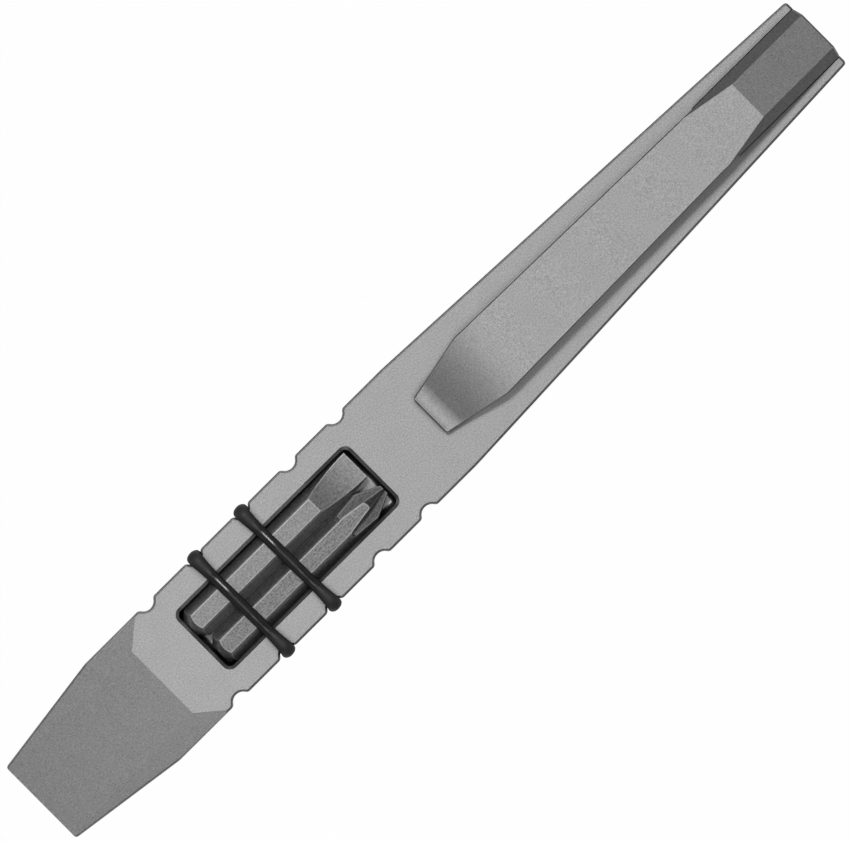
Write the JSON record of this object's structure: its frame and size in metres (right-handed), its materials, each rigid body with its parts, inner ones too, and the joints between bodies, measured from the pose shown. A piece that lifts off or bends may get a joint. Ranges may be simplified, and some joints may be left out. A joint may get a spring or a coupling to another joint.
{
  "type": "pocket pry bar multi-tool",
  "caption": "Flat titanium pry bar with a wedge end, a bit pocket held by O-rings, a tail bit socket and a milled pocket clip.",
  "frame": {"origin": "middle of the tool's length and width, at the underside of the O-rings, which the tool lies on", "axes": "+X from the pry edge to the tail, +Z out of the clip side, +Y across the tool towards the slotted bit"},
  "size_m": [0.1334, 0.0176, 0.0113],
  "materials": {
    "blasted_titanium": null,
    "screw_steel": "dark plain steel screw",
    "black_rubber": "matt black nitrile rubber",
    "bit_steel": "ground tool steel",
    "magnet_nickel": "nickel-plated magnet"
  },
  "bodies": {
    "bar": {"bar_body": "blasted_titanium", "clip_screw_left": "screw_steel", "clip_screw_right": "screw_steel", "socket_magnet": "magnet_nickel"},
    "clip": {"pocket_clip": "blasted_titanium"},
    "front_ring": {"o_ring_front": "black_rubber"},
    "rear_ring": {"o_ring_rear": "black_rubber"},
    "slotted": {"slotted_bit": "bit_steel"},
    "phillips": {"phillips_bit": "bit_steel"}
  },
  "joints": [
    {"name": "clip_flex", "type": "hinge", "parent": "bar", "child": "clip", "pos_m": [0.0491, 0, 0.01058], "axis": [0, 1, 0], "range_deg": [0, 3], "stiffness_Nm_per_rad": 11, "deforming": ["pocket_clip"]},
    {"name": "front_ring_slide", "type": "slide", "parent": "bar", "child": "front_ring", "axis": [1, 0, 0], "range_m": [-0.0081, 0], "deforming": ["o_ring_front"]},
    {"name": "rear_ring_slide", "type": "slide", "parent": "bar", "child": "rear_ring", "axis": [1, 0, 0], "range_m": [0, 0.0162], "deforming": ["o_ring_rear"]},
    {"name": "slotted_lift", "type": "slide", "parent": "bar", "child": "slotted", "axis": [0, 0, 1], "range_m": [0, 0.01]},
    {"name": "phillips_lift", "type": "slide", "parent": "bar", "child": "phillips", "axis": [0, 0, 1], "range_m": [0, 0.01]}
  ]
}
